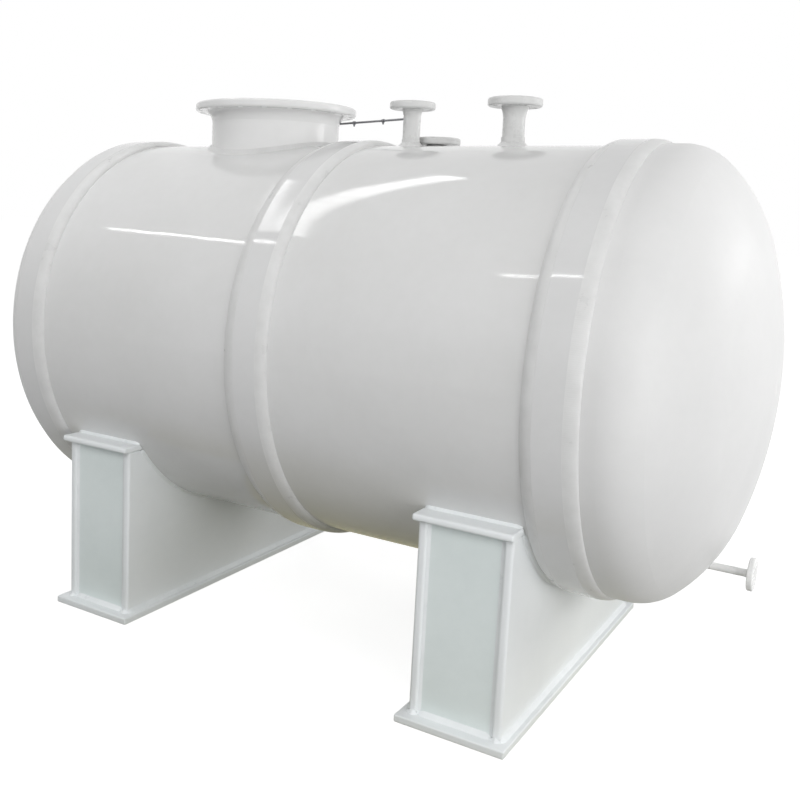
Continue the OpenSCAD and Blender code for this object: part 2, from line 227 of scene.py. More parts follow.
# name, light and dark colour, least and greatest roughness, strength of the wave and of the grain,
# and the grain's scale where it isn't the usual one
SHEET = plastic("sheet_plastic", (0.77, 0.772, 0.77), (0.71, 0.712, 0.705), (0.04, 0.09), 0.16, 0.04)
BAND = plastic("band_plastic", (0.75, 0.752, 0.752), (0.69, 0.692, 0.69), (0.05, 0.10), 0.12, 0.05)
DISH = plastic("dish_plastic", (0.785, 0.785, 0.782), (0.735, 0.735, 0.732), (0.30, 0.42), 0.10, 0.10)
# a lighter copy of the sheet plastic for the manway's neck, flange and flare: its lighter colour is
# painted light, for their brightly lit side
NECK_PAINTED_LIGHT = plastic("neck_plastic", (0.82, 0.82, 0.817), (0.77, 0.77, 0.767), (0.05, 0.10), 0.06, 0.04)
PIPE = plastic("pipe_plastic", (0.71, 0.712, 0.708), (0.65, 0.652, 0.645), (0.20, 0.34), 0.05, 0.07)
PLATE = plastic("plate_plastic", (0.89, 0.915, 0.925), (0.83, 0.86, 0.87), (0.34, 0.5), 0.06, 0.25, 260.0)
PANEL = plastic("panel_plastic", (0.82, 0.885, 0.875), (0.74, 0.81, 0.80), (0.36, 0.52), 0.08, 0.3, 240.0)
BEAD = weld_plastic("bead_plastic", (0.755, 0.757, 0.753), (0.695, 0.697, 0.692))
# a paler copy of the pipe plastic for the drain: its paler colour is painted light, for the drain's
# brightly lit, washed-out look
PIPE_PAINTED_LIGHT = plastic(
    "pipe_plastic_painted_light", (0.95, 0.952, 0.945), (0.90, 0.902, 0.895), (0.20, 0.34), 0.05, 0.12
)
GREY_BEAD = weld_plastic("grey_bead_plastic", (0.87, 0.895, 0.905), (0.81, 0.84, 0.85))
ROD = steel("rod_steel")


# ---------------------------------------------------------------- meshes
def linked(name, data):
    """A new object of the scene with that data."""
    obj = bpy.data.objects.new(name, data)
    bpy.context.scene.collection.objects.link(obj)
    return obj


def new_mesh(name, verts, faces):
    mesh = bpy.data.meshes.new(name)
    mesh.from_pydata([tuple(v) for v in verts], [], faces)
    mesh.update()
    return mesh


def piece(name, verts, faces, material, replaces=(), uvs=None, flat_above=None):
    """A mesh object of the part. If flat_above is given, edges over that many degrees stay sharp."""
    mesh = new_mesh(name, verts, faces)
    mesh.validate()
    if uvs:
        layer = mesh.uv_layers.new(name="UVMap")
        for loop in mesh.loops:
            layer.data[loop.index].uv = uvs[loop.vertex_index]
    mesh.polygons.foreach_set("use_smooth", [True] * len(mesh.polygons))
    if flat_above is not None:
        mesh.set_sharp_from_angle(angle=math.radians(flat_above))
    mesh.materials.append(material)
    mesh.update()
    obj = linked(name, mesh)
    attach(obj, "root")
    if replaces:
        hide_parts(*replaces)
    return obj


def weighted(obj, weight, keep_sharp):
    """Keeps flats flat beside rounded edges."""
    modifier = obj.modifiers.new("weighted", "WEIGHTED_NORMAL")
    modifier.keep_sharp = keep_sharp
    modifier.weight = weight


def angles(count):
    """Equal steps of one full turn."""
    return [2 * math.pi * s / count for s in range(count)]


def facing(ahead):
    """The rotation that turns up into ahead."""
    return Vector(UP).rotation_difference(Vector(ahead)).to_matrix()


def sweep_faces(n, count, closed=True):
    """The faces between count copies of an outline of n points, and back to the first if closed."""
    faces = []
    for i in range(count if closed else count - 1):
        j = (i + 1) % count
        for k in range(n):
            m = (k + 1) % n
            faces.append((i * n + k, i * n + m, j * n + m, j * n + k))
    return faces


def outward(verts, faces):
    """The faces of a closed mesh, turned round if they point into it."""
    volume = 0.0
    for f in faces:
        for k in range(1, len(f) - 1):
            volume += verts[f[0]].dot(verts[f[k]].cross(verts[f[k + 1]]))
    return faces if volume > 0 else [f[::-1] for f in faces]


def rounded(corners, radii, steps=4):
    """A closed outline with rounded corners, and a close point beside each arc to keep flats flat."""
    beside = 0.25  # of the arc's radius
    out = []
    count = len(corners)
    for i, (corner, r) in enumerate(zip(corners, radii)):
        p = Vector(corner)
        if r <= 0:
            out.append(p)
            continue
        a = Vector(corners[i - 1]) - p
        b = Vector(corners[(i + 1) % count]) - p
        half = a.angle(b) / 2
        a, b = a.normalized(), b.normalized()
        along = r / math.tan(half)
        start, end = p + a * along, p + b * along
        centre = p + (a + b).normalized() * (r / math.sin(half))
        out.append(start + a * r * beside)
        first = start - centre
        turn = first.angle_signed(end - centre)
        for k in range(steps + 1):
            out.append(centre + Matrix.Rotation(-turn * k / steps, 2) @ first)
        out.append(end + b * r * beside)
    return out


def ring(name, outline, material, replaces, segments=320):
    """A closed outline of (x, radius) turned round the tank's axis."""
    verts, uvs = [], []
    for a in angles(segments):
        for k, (x, r) in enumerate(outline):
            verts.append((x, r * math.cos(a), AXIS_Z + r * math.sin(a)))
            uvs.append((a * r, k * 0.01))
    return piece(name, verts, sweep_faces(len(outline), segments), material, replaces, uvs)


def bead_mesh(frames, leg, closed, swell, bulge, steps, seed, wander):
    """A fillet bead's mesh and UVs along frames (corner point, direction along each surface)."""
    pitch = 0.011  # from one swelling to the next
    stray_rate = 9.0  # how fast the bead wanders, per metre
    verts, uvs = [], []
    length = 0.0
    count = len(frames)
    total = sum((frames[i][0] - frames[i - 1][0]).length for i in range(0 if closed else 1, count))
    turns = max(1, round(total / pitch))
    for i, (p, a, b) in enumerate(frames):
        if i:
            length += (p - frames[i - 1][0]).length
        wave = swell * math.sin(2 * math.pi * turns * length / total)
        stray = wander * noise.noise(Vector((length * stray_rate, seed, 0.3)))
        if closed:  # it meets its own start
            stray *= math.sin(math.pi * length / total)
        size_a, size_b = leg[0] * (1 + wave + stray), leg[1] * (1 + wave - stray)
        if not closed:  # a run starts and ends with a short taper
            ease = min(1.0, 0.45 + min(length, total - length) / (2.0 * leg[0]))
            size_a, size_b = size_a * ease, size_b * ease
        for k in range(steps + 1):
            t = k / steps
            q = t * math.pi / 2
            ca = (1 - bulge) * (1 - t) + bulge * math.cos(q)
            cb = (1 - bulge) * t + bulge * math.sin(q)
            verts.append(p + a * (size_a * ca - SINK * t) + b * (size_b * cb - SINK * (1 - t)))
            uvs.append((length, t * 0.02))
        verts.append(p - (a + b) * SINK)
        uvs.append((length, 0.03))
    n = steps + 2
    faces = sweep_faces(n, count, closed)
    if not closed:
        faces.append(tuple(range(n))[::-1])
        faces.append(tuple(range((count - 1) * n, count * n)))
    return verts, faces, uvs


def bead(
    name, frames, leg, material=BEAD, closed=False, replaces=(),
    swell=0.035, bulge=0.35, steps=6, seed=0.0, wander=0.09,
):
    """A weld bead. leg is its width on each surface; bulge 0 is a straight slope, 1 a quarter round."""
    verts, faces, uvs = bead_mesh(frames, leg, closed, swell, bulge, steps, seed, wander)
    return piece(name, verts, outward(verts, faces), material, replaces, uvs, flat_above=50)


SHARP_ANGLE = 25  # degrees between the faces of an edge that slab rounds over


def slab(name, outline, axis, low, high, material, replaces, edge):
    """A plate from low to high along the axis, with a closed outline across it and rounded edges."""
    bm = bmesh.new()

    def place(u, v, w):
        return {"x": (w, u, v), "y": (u, w, v), "z": (u, v, w)}[axis]

    rings = [[bm.verts.new(place(u, v, w)) for u, v in outline] for w in (low, high)]
    count = len(outline)
    bm.faces.new(rings[0])
    bm.faces.new(rings[1][::-1])
    for k in range(count):
        m = (k + 1) % count
        bm.faces.new((rings[0][k], rings[1][k], rings[1][m], rings[0][m]))
    bmesh.ops.recalc_face_normals(bm, faces=bm.faces)
    sharp = [e for e in bm.edges if e.calc_face_angle(0) > math.radians(SHARP_ANGLE)]
    bmesh.ops.bevel(
        bm,
        geom=sharp,
        offset=edge,
        offset_type="OFFSET",
        segments=3,
        profile=0.5,
        affect="EDGES",
        clamp_overlap=True,
    )
    bmesh.ops.triangulate(bm, faces=[f for f in bm.faces if len(f.verts) > 4])
    # sorted, because the bevel leaves them in an order that differs from run to run
    ordered = sorted(bm.verts, key=lambda v: v.co[:])
    number = {v: k for k, v in enumerate(ordered)}
    verts = [v.co.copy() for v in ordered]
    faces = sorted(tuple(number[v] for v in f.verts) for f in bm.faces)
    bm.free()
    weighted(piece(name, verts, faces, material, replaces), weight=90, keep_sharp=False)


# ---------------------------------------------------------------- turned parts
BOLT_CHAMFER = 0.0015
DRILL_OVER = 0.004  # how far the drill stands out on each side


def spun(outline, place, ahead, segments):
    """The points of an outline of (radius, height) turned about the line through place along ahead."""
    turn = facing(ahead)
    return [
        Vector(place) + turn @ Vector((r * math.cos(a), r * math.sin(a), h))
        for a in angles(segments)
        for r, h in outline
    ]


def pin(outline, place, ahead, segments):
    """A solid turned mesh: the outline's first and last points lie on its line."""
    turn = facing(ahead)
    verts = [Vector(place) + turn @ Vector((0, 0, outline[k][1])) for k in (0, -1)]
    verts += spun(outline[1:-1], place, ahead, segments)
    faces = []
    n = len(outline) - 2
    for s in range(segments):
        p, q = 2 + s * n, 2 + (s + 1) % segments * n
        for k in range(n - 1):
            faces.append((p + k, p + k + 1, q + k + 1, q + k))
        faces.append((0, p, q))
        faces.append((1, q + n - 1, p + n - 1))
    return verts, outward(verts, faces)


def drilled(verts, faces, holes, place, ahead):
    """The mesh less its bolt holes (circle radius, hole radius, number, from height, to height)."""
    circle, radius, number, low, high = holes
    wide = radius + BOLT_CHAMFER
    drill = [
        (0.0, low - DRILL_OVER),
        (wide + DRILL_OVER, low - DRILL_OVER),
        (wide, low),
        (radius, low + BOLT_CHAMFER),
        (radius, high - BOLT_CHAMFER),
        (wide, high),
        (wide + DRILL_OVER, high + DRILL_OVER),
        (0.0, high + DRILL_OVER),
    ]
    turn = facing(ahead)
    cut_verts, cut_faces = [], []
    for k in range(number):
        a = 2 * math.pi * (k + 0.5) / number
        centre = Vector(place) + turn @ Vector((circle * math.cos(a), circle * math.sin(a), 0))
        v, f = pin(drill, centre, ahead, 24)
        cut_faces += [tuple(q + len(cut_verts) for q in face) for face in f]
        cut_verts += v
    blank = linked("blank", new_mesh("blank", verts, faces))
    tool = linked("tool", new_mesh("tool", cut_verts, cut_faces))
    cut = blank.modifiers.new("cut", "BOOLEAN")
    cut.operation, cut.solver, cut.object = "DIFFERENCE", "EXACT", tool
    bpy.context.view_layer.update()
    shaped = blank.evaluated_get(bpy.context.evaluated_depsgraph_get())
    done = bpy.data.meshes.new_from_object(shaped)
    verts = [v.co.copy() for v in done.vertices]
    faces = [tuple(p.vertices) for p in done.polygons]
    for obj in (blank, tool):
        bpy.data.objects.remove(obj)
    return verts, faces


def lathe(name, outline, place, material, replaces=(), ahead=UP, segments=96, holes=None):
    """A turned piece, with bolt holes if given."""
    verts = spun(outline, place, ahead, segments)
    faces = outward(verts, sweep_faces(len(outline), segments))
    if holes:
        verts, faces = drilled(verts, faces, holes, place, ahead)
    weighted(piece(name, verts, faces, material, replaces, flat_above=34), weight=80, keep_sharp=True)


# ---------------------------------------------------------------- tank
def dress(material, *nodes):
    """Gives CAD nodes their finish."""
    for node in nodes:
        for slot in frame["nodes"][node].material_slots:
            slot.material = material


dress(SHEET, "shell_left_upper", "shell_left_lower", "shell_right_upper", "shell_right_lower")
dress(DISH, "head_left", "head_right")
dress(NECK_PAINTED_LIGHT, "manway_neck")
dress(PIPE, "gauge_neck")
dress(ROD, "tie_rod")

# A band's flat face starts this far past the edge of its CAD band and is this wide.
# Then comes the width of the broad bead that rounds its edge on the drain side.
BAND_FACE = {"left": (0.0, 0.090, 0.043), "mid": (0.026, 0.090, 0.036), "right": (0.0205, 0.0875, 0.041)}
SKIRT_TOP = 0.0006  # the skirt under a broad bead reaches this far above the shell
SKIRT_BACK = 0.002  # and ends this far before the bead's foot
HEAD_GAP, HEAD_OVERLAP = 0.0001, 0.001  # the right band's skirt off the head, and along it
BAND_EDGE = 0.0006
LEFT_BELOW, DRAIN_BELOW = 0.0003, 0.0002  # the beads on each side stop this far below the band's face
FILLED = 0.96  # the share of its CAD weld that a bead takes up


def band_edges(part):
    """Where a band's flat face starts and ends."""
    start = lo("band_" + part)[0] + BAND_FACE[part][0]
    return start, start + BAND_FACE[part][1]


for part, (_, _, cover) in BAND_FACE.items():
    x0, x1 = band_edges(part)
    seat = SHELL_R + SEAT_GAP
    under, end = SHELL_R + SKIRT_TOP, x1 + cover - SKIRT_BACK
    if part == "right":  # the skirt also covers the step from the shell to the head
        under, end = HEAD_R + HEAD_GAP, hi("band_right")[0] + HEAD_OVERLAP
    corners = [(x0, seat), (end, seat), (end, under), (x1, under), (x1, BAND_R), (x0, BAND_R)]
    outline = rounded(corners, [0, 0, 0, 0, BAND_EDGE, BAND_EDGE])
    ring("round_band_" + part, outline, BAND, ["band_" + part])


def ring_frames(x, r, side, segments=1260):
    """Corner frames of a bead round the tank: along the tank on side, and out."""
    out = []
    for a in angles(segments):
        radial = Vector((0, math.cos(a), math.sin(a)))
        out.append((Vector((x, 0, AXIS_Z)) + radial * r, Vector((side, 0, 0)), radial))
    return out


def band_bead(node, x, r, side, leg, seed, bulge):
    """The bead along one side of a band, in place of that node."""
    bead(
        "bead_" + node[5:], ring_frames(x, r, side), leg, closed=True, replaces=[node],
        swell=0.005, bulge=bulge, steps=14, seed=seed, wander=0.012,
    )


LEFT_WELDS = {"left": "weld_left_outer", "mid": "weld_mid_left", "right": "weld_right_inner"}
DRAIN_WELDS = {"left": "weld_left_inner", "mid": "weld_mid_right", "right": "weld_right_outer"}
for seed, (part, node) in enumerate(LEFT_WELDS.items()):
    r = HEAD_R if part == "left" else SHELL_R
    x = band_edges(part)[0]
    leg = ((x - lo(node)[0]) * FILLED, BAND_R - r - LEFT_BELOW)
    band_bead(node, x, r, -1, leg, seed, bulge=0.85)
for seed, (part, node) in enumerate(DRAIN_WELDS.items(), len(LEFT_WELDS)):
    r = HEAD_R if part == "right" else SHELL_R
    leg = (BAND_FACE[part][2], BAND_R - r - DRAIN_BELOW)
    band_bead(node, band_edges(part)[1], r, 1, leg, seed, bulge=0.95)


# ---------------------------------------------------------------- nozzles
MOUNT = {m["name"]: m for m in frame["record"]["mounts"]}


def foot_frames(x, y, r, count=200):
    """Corner frames round an upright pipe's foot: out along the shell, and up the pipe."""
    out = []
    for a in angles(count):
        c, d = math.cos(a), math.sin(a)
        py = y + r * d
        rise = math.sqrt(SHELL_R * SHELL_R - py * py)
        away = Vector((c, d, d * (-py / rise))).normalized()
        out.append((Vector((x + r * c, py, AXIS_Z + rise)), away, Vector(UP)))
    return out


def collar_frames(place, r, ahead, count=120):
    """Corner frames round a pipe under a face: out along the face, and back along the pipe."""
    turn = facing(ahead)
    out = []
    for a in angles(count):
        radial = turn @ Vector((math.cos(a), math.sin(a), 0))
        out.append((Vector(place) + radial * r, radial, -Vector(ahead)))
    return out


def flange(node, bolts, edge=0.007, material=PIPE, across=(0, 1), ahead=UP, segments=128):
    """A flange with rounded rims and the bolt holes of its mount."""
    bore, rim = reach(node, across)
    along = 3 - sum(across)
    half = (hi(node)[along] - lo(node)[along]) / 2
    corners = [(bore, -half), (rim, -half), (rim, half), (bore, half)]
    outline = rounded(corners, [0.001, edge, edge, 0.002], 5)
    dims = MOUNT[bolts]["dims"]
    holes = (dims["pcd_mm"] / 2000, dims["hole_r_mm"] / 1000, dims["count"], -half, half)
    lathe("turned_" + node, outline, middle(node), material, [node], ahead, segments, holes)


# the manway, whose neck flares out under its flange
mx, my, _ = middle("manway_neck")
manway_r = reach("manway_neck")[1]
flange("manway_flange", "manway_bolts", 0.009, NECK_PAINTED_LIGHT, segments=256)
bead(
    "bead_manway", foot_frames(mx, my, manway_r, 560), (0.0155, 0.0155), closed=True,
    replaces=["manway_weld"], bulge=0.1, seed=7.0,
)
FLARE_OUT, FLARE_DOWN, FLARE_STEPS = 0.034, 0.044, 10
under = lo("manway_flange")[2]
flare = [(manway_r - SINK, under + SINK), (manway_r - SINK, under - FLARE_DOWN)]
for k in range(1, FLARE_STEPS):
    q = math.pi / 2 * k / FLARE_STEPS
    flare.append((manway_r + FLARE_OUT * (1 - math.cos(q)), under - FLARE_DOWN * (1 - math.sin(q))))
flare.append((manway_r + FLARE_OUT, under + SINK))
lathe("manway_flare", flare, (mx, my, 0), NECK_PAINTED_LIGHT, segments=256)

# the two standing nozzles: a pipe in a wider foot, a hub and a flange
NEAR = 0.002  # a point this near to an edge belongs to it
FOOT_FROM, FOOT_TO = 0.016, 0.05  # above the crest, where only the foot and the pipe are
FOOT_SINK = 0.008  # the redrawn foot reaches this far below the crest
HUB_STEPS, HUB_CURVE = 8, 1.7
WAIST_OUT = 0.001  # the hub starts this far outside the pipe
for number, name in enumerate(("vent", "fill")):
    node, hub = name + "_neck", name + "_hub"
    x, y, _ = middle(node)
    z0, top = lo(node)[2], hi(node)[2]
    inner_r = reach(name + "_flange")[0]
    pipe_r = min(d for d, p in spots(node) if p.z > top - NEAR and d > inner_r + NEAR)
    foot_r = max(d for d, p in spots(node) if CREST_Z + FOOT_FROM < p.z < CREST_Z + FOOT_TO)
    step = max(p.z for d, p in spots(node) if d > pipe_r + NEAR / 2)
    outline = rounded(
        [
            (inner_r, z0),
            (pipe_r, z0),
            (pipe_r, CREST_Z - FOOT_SINK),
            (foot_r, CREST_Z - FOOT_SINK),
            (foot_r, step),
            (pipe_r, step),
            (pipe_r, top),
            (inner_r, top),
        ],
        [0.001, 0.001, 0, 0, 0.001, 0.0005, 0, 0],
        3,
    )
    lathe("turned_" + node, outline, (x, y, 0), PIPE, [node], segments=72)
    leg = ((hi(node)[0] - lo(node)[0]) / 2 - foot_r) * FILLED
    foot = foot_frames(x, y, foot_r)
    bead("bead_" + name, foot, (leg, leg), closed=True, bulge=0.0, seed=10.0 + number)
    hub_in, hub_out = reach(hub)
    h0, h1 = lo(hub)[2], hi(hub)[2]
    waist = pipe_r + WAIST_OUT
    belly = [(hub_in, h0), (waist, h0)]
    for k in range(1, HUB_STEPS):
        t = k / HUB_STEPS
        belly.append((waist + (hub_out - waist) * t ** HUB_CURVE, h0 + (h1 - h0) * t))
    belly += [(hub_out, h1), (hub_in, h1)]
    lathe("turned_" + hub, belly, (x, y, 0), PIPE, [hub], segments=72)
    flange(name + "_flange", name + "_bolts")

# the low flange behind the first nozzle
flange("gauge_flange", "gauge_bolts")
gx, gy, _ = middle("gauge_neck")
gauge_r = reach("gauge_neck")[1]
bead("bead_gauge", foot_frames(gx, gy, gauge_r), (0.034, 0.020), closed=True, bulge=0.2, seed=12.0)

# the drain
ROUND_DRAIN = (1, 2)  # the axes across it
_, dy, dz = middle("drain_neck")
drain_in, drain_r = reach("drain_neck", ROUND_DRAIN)
d0, d1 = lo("drain_neck")[0], hi("drain_neck")[0]
outline = rounded([(drain_in, d0), (drain_r, d0), (drain_r, d1), (drain_in, d1)], [0.0005] * 4, 2)
lathe("turned_drain_neck", outline, (0, dy, dz), PIPE_PAINTED_LIGHT, ["drain_neck"], ALONG, 48)
flange("drain_flange", "drain_bolts", 0.004, PIPE_PAINTED_LIGHT, ROUND_DRAIN, ALONG, 72)
collar = collar_frames((lo("drain_flange")[0], dy, dz), drain_r, ALONG)
bead("bead_drain", collar, (0.008, 0.008), closed=True, bulge=0.0, seed=13.0)

# two small clips on the rod, each with a screw under it
CLIP_AT = (0.24, 0.68)  # shares of the rod's length
CLIP_HALF, CLIP_THICK, CLIP_SINK = 0.006, 0.0025, 0.0002
SCREW = [(0, 0), (0.0028, 0), (0.0035, 0.0007), (0.0035, 0.0073), (0.0028, 0.008), (0, 0.008)]
SCREW_DOWN = 0.0095
rod_a, rod_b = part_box("tie_rod")
rod_r = (rod_b[2] - rod_a[2]) / 2
rod_from = Vector((rod_a[0] + rod_r, rod_b[1] - rod_r, rod_a[2] + rod_r))
rod_to = Vector((rod_b[0] - rod_r, rod_a[1] + rod_r, rod_a[2] + rod_r))
rod_way = (rod_to - rod_from).normalized()
clip = rounded(
    [
        (rod_r - CLIP_SINK, -CLIP_HALF),
        (rod_r + CLIP_THICK, -CLIP_HALF),
        (rod_r + CLIP_THICK, CLIP_HALF),
        (rod_r - CLIP_SINK, CLIP_HALF),
    ],
    [0, 0.001, 0.001, 0],
    3,
)
for number, t in enumerate(CLIP_AT):
    place = rod_from.lerp(rod_to, t)
    lathe("clip_%d" % number, clip, place, ROD, ahead=rod_way, segments=32)
    verts, faces = pin(SCREW, place - Vector((0, 0, rod_r + SCREW_DOWN)), UP, 20)
    screw = piece("clip_screw_%d" % number, verts, faces, ROD, flat_above=40)
    weighted(screw, weight=80, keep_sharp=True)

# ---------------------------------------------------------------- saddles
# how far the edges of each plate are rounded over, and the corners of a cap's end
BASE_EDGE, WEB_EDGE, PANEL_EDGE, CAP_EDGE = 0.005, 0.0095, 0.001, 0.006
CAP_LOW_CORNER, CAP_TOP_CORNER = 0.008, 0.009
# widths of each weld along its two faces
POST_LEG = 0.011
FOOT_LEGS, HEAD_LEGS, SEAT_LEGS = (0.016, 0.014), (0.010, 0.009), (0.012, 0.012)
TOE_LEGS, WEB_LEGS, SHELL_LEGS = (0.014, 0.013), (0.013, 0.013), (0.010, 0.010)
SEAT_SHORT = 0.004  # a cap's weld ends this far inside the cap
RUN_STEP, RUN_FRAMES = 0.03, 6  # a straight weld has this many frames on each step
SMOOTH_RUN = {"bulge": -0.1, "swell": 0.01, "wander": 0.03}
PLAIN_RUN = {"bulge": 0.0}


def run(start, end, a, b):
    """Corner frames along a straight line."""
    start, end = Vector(start), Vector(end)
    count = max(8, int((end - start).length / RUN_STEP * RUN_FRAMES))
    a, b = Vector(a).normalized(), Vector(b).normalized()
    return [(start.lerp(end, k / count), a, b) for k in range(count + 1)]


def lower_arc(r, z, steps):
    """Angles round the tank's axis from height z at the back, under it, to height z at the front."""
    start = -math.asin((AXIS_Z - z) / r)
    return [start + (-math.pi - 2 * start) * k / steps for k in range(steps + 1)]


def web_outline(y_out, z_low, z_high):
    """A web's outline in Y and Z: a plate whose top is cut to the shell."""
    r = SHELL_R + SEAT_GAP
    arc = [(r * math.cos(a), AXIS_Z + r * math.sin(a)) for a in lower_arc(r, z_high, 72)]
    return [(-y_out, z_low), (y_out, z_low), (y_out, z_high), *arc, (-y_out, z_high)]


def oblong(a, b, i, j):
    """The corners of a box's face, in its axes i and j."""
    return [(a[i], a[j]), (b[i], a[j]), (b[i], b[j]), (a[i], b[j])]


def saddle_end(side, end, way, webs):
    """One end of a saddle, which faces way in Y: its end plate, its cap and their welds."""
    cad = "saddle_" + side + "_"
    mark = side + "_" + end
    out = (0, way, 0)
    base_top, web_y = hi(cad + "base")[2], hi(cad + "web_outer")[1]
    cap_under = lo(cad + "cap_front")[2]

    p0, p1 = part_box(cad + "plate_" + end)
    plate = [cad + "plate_" + end]
    slab("panel_" + mark, oblong(p0, p1, 0, 2), "y", p0[1], p1[1], PANEL, plate, PANEL_EDGE)
    face = p0[1] if way < 0 else p1[1]
    post_legs = (POST_LEG, (abs(web_y - abs(face)) - 0.001) / 2)  # half as deep as the web stands out
    for x, a in ((p0[0], 1), (p1[0], -1)):
        post = run((x, face, base_top), (x, face, cap_under), (a, 0, 0), out)
        bead(mark + "_post_%d" % (a > 0), post, post_legs, GREY_BEAD, seed=x, **SMOOTH_RUN)
    foot = run((p0[0], face, base_top), (p1[0], face, base_top), out, UP)
    bead(mark + "_foot", foot, FOOT_LEGS, GREY_BEAD, seed=face, **SMOOTH_RUN)
    head = run((p0[0], face, cap_under), (p1[0], face, cap_under), out, (0, 0, -1))
    bead(mark + "_head", head, HEAD_LEGS, GREY_BEAD, seed=face + 3, **PLAIN_RUN)

    c0, c1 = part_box(cad + "cap_" + end)
    r = SHELL_R + SEAT_GAP
    y_top, y_low = (math.sqrt(r * r - (AXIS_Z - z) ** 2) for z in (c1[2], c0[2]))
    far = max(abs(c0[1]), abs(c1[1]))
    corners = [(way * far, c0[2]), (way * y_low, c0[2]), (way * y_top, c1[2]), (way * far, c1[2])]
    cap = rounded(corners, [CAP_LOW_CORNER, 0, 0, CAP_TOP_CORNER], 5)
    slab("cap_" + mark, cap, "x", c0[0], c1[0], PLATE, [cad + "cap_" + end], CAP_EDGE)
    low = math.asin((AXIS_Z - c1[2]) / SHELL_R)
    y_seat = way * SHELL_R * math.cos(low)
    seat_from, seat_to = (c0[0] + SEAT_SHORT, y_seat, c1[2]), (c1[0] - SEAT_SHORT, y_seat, c1[2])
    seat = run(seat_from, seat_to, out, (0, way * math.sin(low), math.cos(low)))
    bead(mark + "_seat", seat, SEAT_LEGS, GREY_BEAD, seed=far, **PLAIN_RUN)

    for x0, x1, _ in webs:  # round the web's standing edge, where it meets the base
        toe = run((x0, way * web_y, base_top), (x1, way * web_y, base_top), out, UP)
        bead(mark + "_toe_%d" % (x0 > p0[0]), toe, TOE_LEGS, GREY_BEAD, seed=x0, **PLAIN_RUN)


def saddle(side):
    """Redraws one saddle's plates with rounded edges, and adds its welds."""
    cad = "saddle_" + side + "_"
    b0, b1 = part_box(cad + "base")
    base_top, web_y = b1[2], hi(cad + "web_outer")[1]
    cap_under = lo(cad + "cap_front")[2]
    outline = oblong(b0, b1, 0, 1)
    slab("plate_" + side + "_base", outline, "z", b0[2], base_top, PLATE, [cad + "base"], BASE_EDGE)
    webs = sorted((lo(cad + w)[0], hi(cad + w)[0], cad + w) for w in ("web_outer", "web_inner"))
    for x0, x1, node in webs:
        outline = web_outline(web_y, base_top, cap_under)
        slab("plate_" + node[7:], outline, "x", x0, x1, PLATE, [node], WEB_EDGE)
    for end, way in (("front", -1), ("back", 1)):
        saddle_end(side, end, way, webs)
    for k, (x0, x1, _) in enumerate(webs):
        for x, a in ((x0, -1), (x1, 1)):
            mark = side + "_web_%d%d" % (k, a > 0)
            foot = run((x, -web_y, base_top), (x, web_y, base_top), (a, 0, 0), UP)
            bead(mark + "_foot", foot, WEB_LEGS, GREY_BEAD, seed=x + 5, **PLAIN_RUN)
            frames = []
            for t in lower_arc(SHELL_R, cap_under, 240):
                radial = Vector((0, math.cos(t), math.sin(t)))
                frames.append((Vector((x, 0, AXIS_Z)) + radial * SHELL_R, Vector((a, 0, 0)), radial))
            bead(mark + "_shell", frames, SHELL_LEGS, GREY_BEAD, seed=x + 9, **PLAIN_RUN)


for side in ("left", "right"):
    saddle(side)

# ---------------------------------------------------------------- stage
WHITE = (1, 1, 1, 1)
FLOOR_HALF = 60.0
FLOOR_GREY = (0.5, 0.5, 0.5, 1)
# strength of the floor's own glow for the camera, within 2 m of the origin and past 4 m
GLOW_NEAR, GLOW_FAR, GLOW_FROM, GLOW_TO = 0.8, 1.0, 2.0, 4.0
# The light that the floor throws back and its look in gloss are darker and yellower under the tank.
# Each is a ramp over FLOOR_SPAN metres away from a middle, with the distance along the tank eased.
FLOOR_SPAN = 4.0
BOUNCE_MIDDLE, BOUNCE_EASE = 0.35, 0.8
BOUNCE_STOPS = [(0.13, (0.20, 0.185, 0.10)), (0.26, (0.33, 0.333, 0.335))]
MIRROR_MIDDLE, MIRROR_EASE = -0.45, 0.75
MIRROR_STOPS = [(0.20, (0.42, 0.40, 0.27)), (0.30, (0.76, 0.76, 0.75)), (0.45, (1.0, 1.0, 1.0))]


